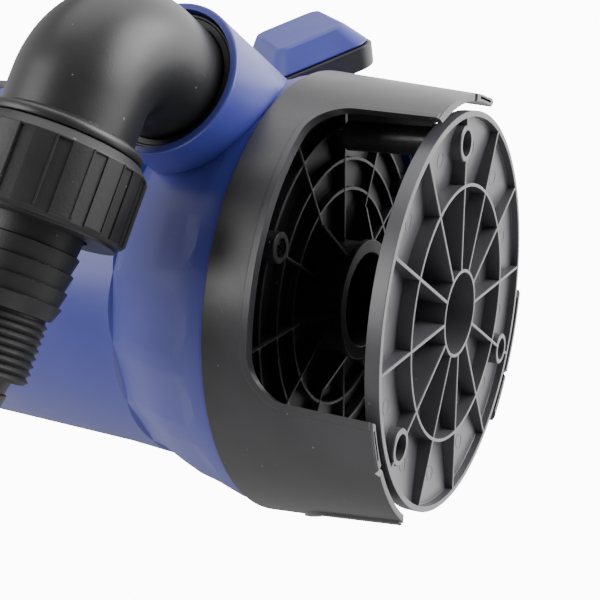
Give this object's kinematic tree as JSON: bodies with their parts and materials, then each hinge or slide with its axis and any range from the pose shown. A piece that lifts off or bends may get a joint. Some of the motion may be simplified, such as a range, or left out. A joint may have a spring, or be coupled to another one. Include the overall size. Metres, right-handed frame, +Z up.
{
  "type": "submersible pump",
  "caption": "Submersible water pump: windowed strainer base, blue motor housing, swivelling outlet elbow with union nut and stepped hose tail, side float switch.",
  "frame": {"origin": "on the ground, under the middle of the bounding box", "axes": "+Z up along the motor's axis, away from the strainer base; the outlet collar faces -Y and the hose tail points to -X"},
  "size_m": [0.2492, 0.263, 0.318],
  "materials": {
    "blue_plastic": "satin moulded plastic, deep blue",
    "charcoal_plastic": "moulded plastic, charcoal grey",
    "black_plastic": "satin moulded plastic, black",
    "rubber": "matt black rubber",
    "steel": "plain steel",
    "copper_wire": "enamelled copper wire",
    "brass": "plain brass"
  },
  "bodies": {
    "housing": {"base_plate": "charcoal_plastic", "intake_skirt": "charcoal_plastic", "suction_plate": "black_plastic", "pump_housing": "blue_plastic", "float_holder": "charcoal_plastic", "shaft_seal": "rubber", "seal_plate": "black_plastic", "motor_can": "steel", "stator": "steel", "winding_lower": "copper_wire", "winding_upper": "copper_wire", "lower_bearing": "steel", "upper_bearing": "steel", "capacitor": "black_plastic", "cover_seal": "rubber", "top_cover": "charcoal_plastic", "carry_handle": "charcoal_plastic", "handle_grip": "rubber", "power_gland": "black_plastic", "float_gland": "black_plastic", "outlet_ring": "black_plastic", "base_screw_1": "steel", "base_screw_2": "steel", "base_screw_3": "steel", "suction_screw_1": "steel", "suction_screw_2": "steel", "suction_screw_3": "steel", "holder_screw_1": "steel", "holder_screw_2": "steel", "cover_screw_1": "steel", "cover_screw_2": "steel", "cover_screw_3": "steel", "cover_screw_4": "steel", "handle_screw_1": "steel", "handle_screw_2": "steel"},
    "rotating": {"shaft": "steel", "rotor": "steel", "impeller": "black_plastic", "impeller_nut": "brass"},
    "elbow": {"elbow": "black_plastic", "elbow_seal": "rubber"},
    "nut": {"union_nut": "black_plastic"},
    "tail": {"hose_tail": "black_plastic", "tail_gasket": "rubber"},
    "float": {"float_lower": "charcoal_plastic", "float_upper": "blue_plastic", "float_switch": "black_plastic"},
    "ball": {"float_ball": "steel"}
  },
  "joints": [
    {"name": "rotor_spin", "type": "hinge", "parent": "housing", "child": "rotating", "pos_m": [-0.0315, 0.03845, 0], "axis": [0, 0, 1], "continuous": true},
    {"name": "elbow_swivel", "type": "hinge", "parent": "housing", "child": "elbow", "pos_m": [0.0189, -0.10095, 0.0943], "axis": [0, -1, 0], "range_deg": [-84.4, 5.6]},
    {"name": "nut_spin", "type": "hinge", "parent": "elbow", "child": "nut", "pos_m": [0.0189, -0.10095, 0.0943], "axis": [-0.9952, 0, 0.0976], "continuous": true},
    {"name": "tail_turn", "type": "hinge", "parent": "elbow", "child": "tail", "pos_m": [0.0189, -0.10095, 0.0943], "axis": [-0.9952, 0, 0.0976], "continuous": true},
    {"name": "float_swing", "type": "hinge", "parent": "housing", "child": "float", "pos_m": [0.0935, 0.06545, 0.115], "axis": [0.665, -0.7111, 0.2283], "range_deg": [-60, 60]},
    {"name": "float_ball_roll", "type": "slide", "parent": "float", "child": "ball", "axis": [0.4496, 0.6253, 0.6378], "range_m": [0, 0.04]}
  ]
}
